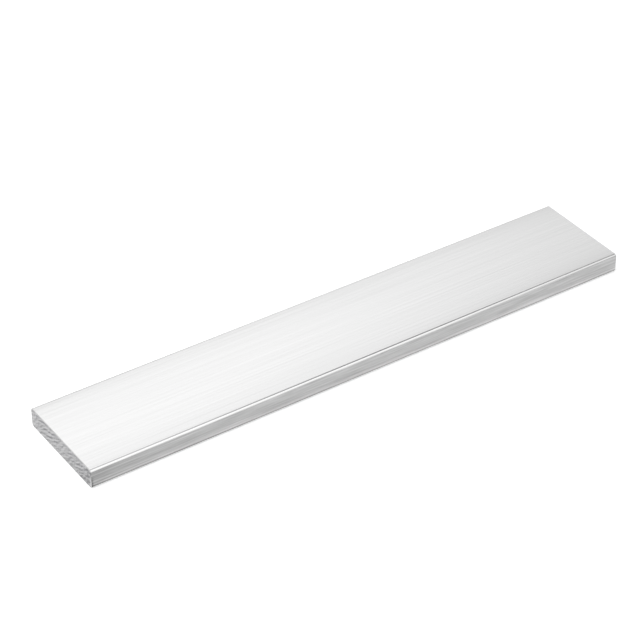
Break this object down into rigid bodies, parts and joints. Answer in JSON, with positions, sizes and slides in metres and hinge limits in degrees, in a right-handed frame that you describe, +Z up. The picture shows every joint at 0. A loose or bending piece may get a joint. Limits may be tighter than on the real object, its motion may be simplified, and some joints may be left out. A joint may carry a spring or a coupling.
{
  "type": "aluminium flat bar",
  "caption": "Straight flat bar of extruded aluminium with a rectangular section, lightly rounded long edges and square sawn ends, as raw stock for framing and brackets.",
  "frame": {"origin": "middle of the broad face that the bar lies on", "axes": "+X along the length of the bar, +Y across its width, +Z up through its thickness"},
  "size_m": [0.2794, 0.0508, 0.0095],
  "materials": {
    "mill_aluminium": "mill finish with fine die lines along the length; ends sawn and deburred"
  },
  "bodies": {
    "root": {"flat_bar": "mill_aluminium"}
  },
  "joints": []
}
